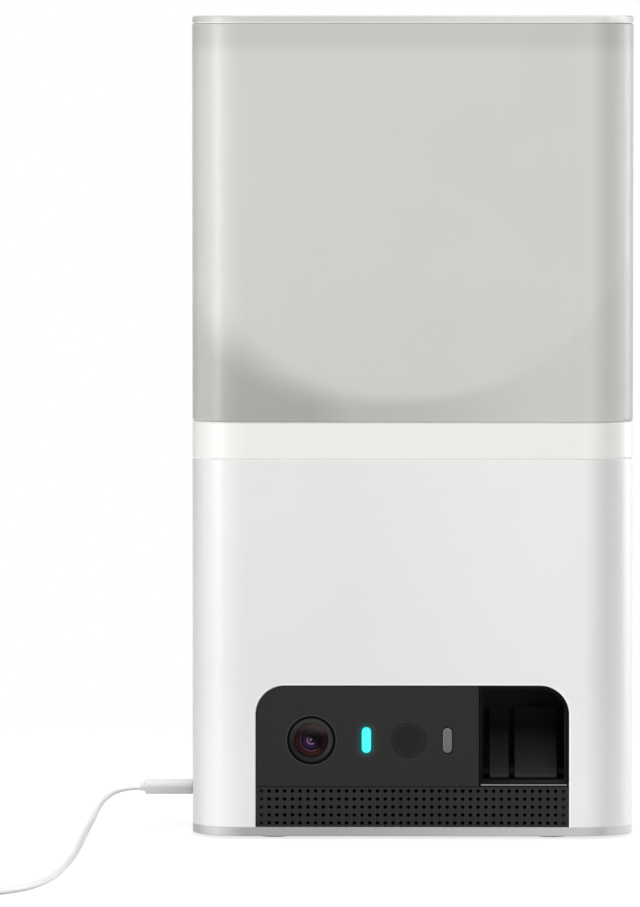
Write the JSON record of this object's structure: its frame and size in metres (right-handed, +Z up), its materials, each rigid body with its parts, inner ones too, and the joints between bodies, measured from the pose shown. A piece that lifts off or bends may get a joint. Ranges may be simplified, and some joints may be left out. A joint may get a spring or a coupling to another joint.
{
  "type": "treat tossing pet camera",
  "caption": "Tabletop pet camera with a translucent treat container, a portion wheel and a spring kicker that tosses treats from a front outlet.",
  "frame": {"origin": "on the table under the middle of the case", "axes": "+Z up, the front faces -Y, +X is on the right of someone who faces the front"},
  "size_m": [0.2631, 0.2702, 0.27],
  "materials": {
    "base_grey": "satin",
    "foot_rubber": "pale silicone",
    "cone_black": "matt",
    "steel_dark": "blackened",
    "steel": "satin",
    "sleeve_silver": "satin, pearl silver white",
    "collar_white": "satin, warm white",
    "frame_grey": "matt",
    "panel_black": "matt",
    "bezel_black": "satin",
    "lens_glass": "polished, coated",
    "board_green": "satin",
    "sensor_dark": "satin",
    "chute_grey": "matt",
    "lip_grey": "satin",
    "kicker_grey": "satin",
    "gear_white": "satin acetal",
    "brass": "turned",
    "wheel_white": "satin",
    "container_frost": "frosted, translucent",
    "bowl_white": "satin",
    "lid_grey": "satin",
    "gasket_grey": "silicone",
    "rear_grey": "satin",
    "cord_white": "satin jacket",
    "tie_white": "woven",
    "light_cyan": "lit diffuser",
    "light_grey": "diffuser"
  },
  "bodies": {
    "base": {"base_plate": "base_grey", "rubber_feet": "foot_rubber", "base_screws": "steel", "body_sleeve": "sleeve_silver", "collar_ring": "collar_white", "inner_frame": "frame_grey", "front_panel": "panel_black", "speaker_grille": "panel_black", "camera_bezel": "bezel_black", "camera_lens": "lens_glass", "camera_barrel": "bezel_black", "camera_board": "board_green", "sensor_window": "sensor_dark", "light_board": "board_green", "speaker_housing": "cone_black", "speaker_cone": "cone_black", "launch_chute": "chute_grey", "outlet_lip": "lip_grey", "kicker_bushes": "gear_white", "kick_motor": "steel", "kick_motor_bracket": "frame_grey", "kicker_spring": "steel", "drop_duct": "frame_grey", "portion_drive_bracket": "frame_grey", "portion_motor": "steel", "drive_bush": "gear_white", "latch_bracket": "frame_grey", "release_spring": "steel", "rear_panel": "rear_grey", "wall_inserts": "brass", "main_board": "board_green", "board_shield": "steel", "power_jack": "panel_black", "dc_plug": "cord_white", "dc_plug_pin": "steel", "power_cord": "cord_white", "cord_coil": "cord_white", "cord_tie": "tie_white", "usb_plug_body": "cord_white", "usb_plug_shell": "steel", "status_light_pipe": "light_cyan", "aux_light_pipe": "light_grey"},
    "container": {"treat_container": "container_frost", "hopper_bowl": "bowl_white", "portion_housing": "wheel_white", "drop_baffle": "wheel_white"},
    "lid": {"lid": "lid_grey", "lid_gasket": "gasket_grey"},
    "drive": {"drive_shaft": "steel", "drive_gear": "gear_white"},
    "wheel": {"portion_wheel": "wheel_white", "stirrer": "wheel_white"},
    "portion_pinion": {"portion_pinion": "brass"},
    "kicker": {"kicker": "kicker_grey", "kicker_shaft": "steel_dark", "kicker_gear": "gear_white"},
    "kick_pinion": {"kick_pinion": "brass"},
    "release_button": {"release_button": "collar_white"},
    "reset_button": {"reset_button": "panel_black"}
  },
  "joints": [
    {"name": "container_lift", "type": "slide", "parent": "base", "child": "container", "axis": [0, 0, 1], "range_m": [0, 0.06]},
    {"name": "lid_lift", "type": "slide", "parent": "container", "child": "lid", "axis": [0, 0, 1], "range_m": [0, 0.03]},
    {"name": "drive_spin", "type": "hinge", "parent": "base", "child": "drive", "pos_m": [0.014, 0, 0.094], "axis": [0, 0, 1], "continuous": true},
    {"name": "wheel_spin", "type": "hinge", "parent": "container", "child": "wheel", "pos_m": [0.014, 0, 0.127], "axis": [0, 0, 1], "continuous": true},
    {"name": "portion_pinion_spin", "type": "hinge", "parent": "base", "child": "portion_pinion", "pos_m": [-0.004, 0, 0.094], "axis": [0, 0, 1], "continuous": true},
    {"name": "kicker_swing", "type": "hinge", "parent": "base", "child": "kicker", "pos_m": [0.0365, -0.02, 0.021], "axis": [1, 0, 0], "range_deg": [-12, 42], "stiffness_Nm_per_rad": 0.01},
    {"name": "kick_pinion_spin", "type": "hinge", "parent": "base", "child": "kick_pinion", "pos_m": [0.01515, -0.009, 0.02899], "axis": [1, 0, 0], "range_deg": [-104, 32]},
    {"name": "release_button_press", "type": "slide", "parent": "base", "child": "release_button", "axis": [0, -1, 0], "range_m": [0, 0.0016], "stiffness_N_per_m": 300},
    {"name": "reset_button_press", "type": "slide", "parent": "base", "child": "reset_button", "axis": [0, -1, 0], "range_m": [0, 0.0008], "stiffness_N_per_m": 300}
  ],
  "couplings": [
    {"joint": "wheel_spin", "follows": "drive_spin", "ratio": 1},
    {"joint": "portion_pinion_spin", "follows": "drive_spin", "ratio": -2},
    {"joint": "kick_pinion_spin", "follows": "kicker_swing", "ratio": -2.4}
  ]
}
